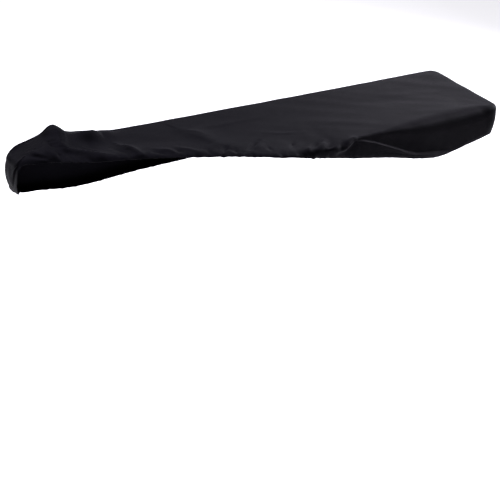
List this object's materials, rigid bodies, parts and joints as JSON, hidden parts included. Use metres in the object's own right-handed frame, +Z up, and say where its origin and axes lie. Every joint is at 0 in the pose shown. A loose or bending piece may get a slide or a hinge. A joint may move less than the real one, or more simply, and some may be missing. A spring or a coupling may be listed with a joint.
{
  "type": "piano cover",
  "caption": "Fitted black cloth cover for a slim stage piano, pulled back from the lower keys; hollow, open below, with an elastic hem.",
  "frame": {"origin": "centre of the underside of the cover's top panel, where the instrument under it carries the cloth", "axes": "+X along the keys towards the fitted right end, +Y from the player to the back, +Z up"},
  "size_m": [1.3228, 0.3037, 0.1727],
  "materials": {
    "cloth": "satin"
  },
  "bodies": {
    "root": {"cover_cloth": "cloth"}
  },
  "joints": []
}
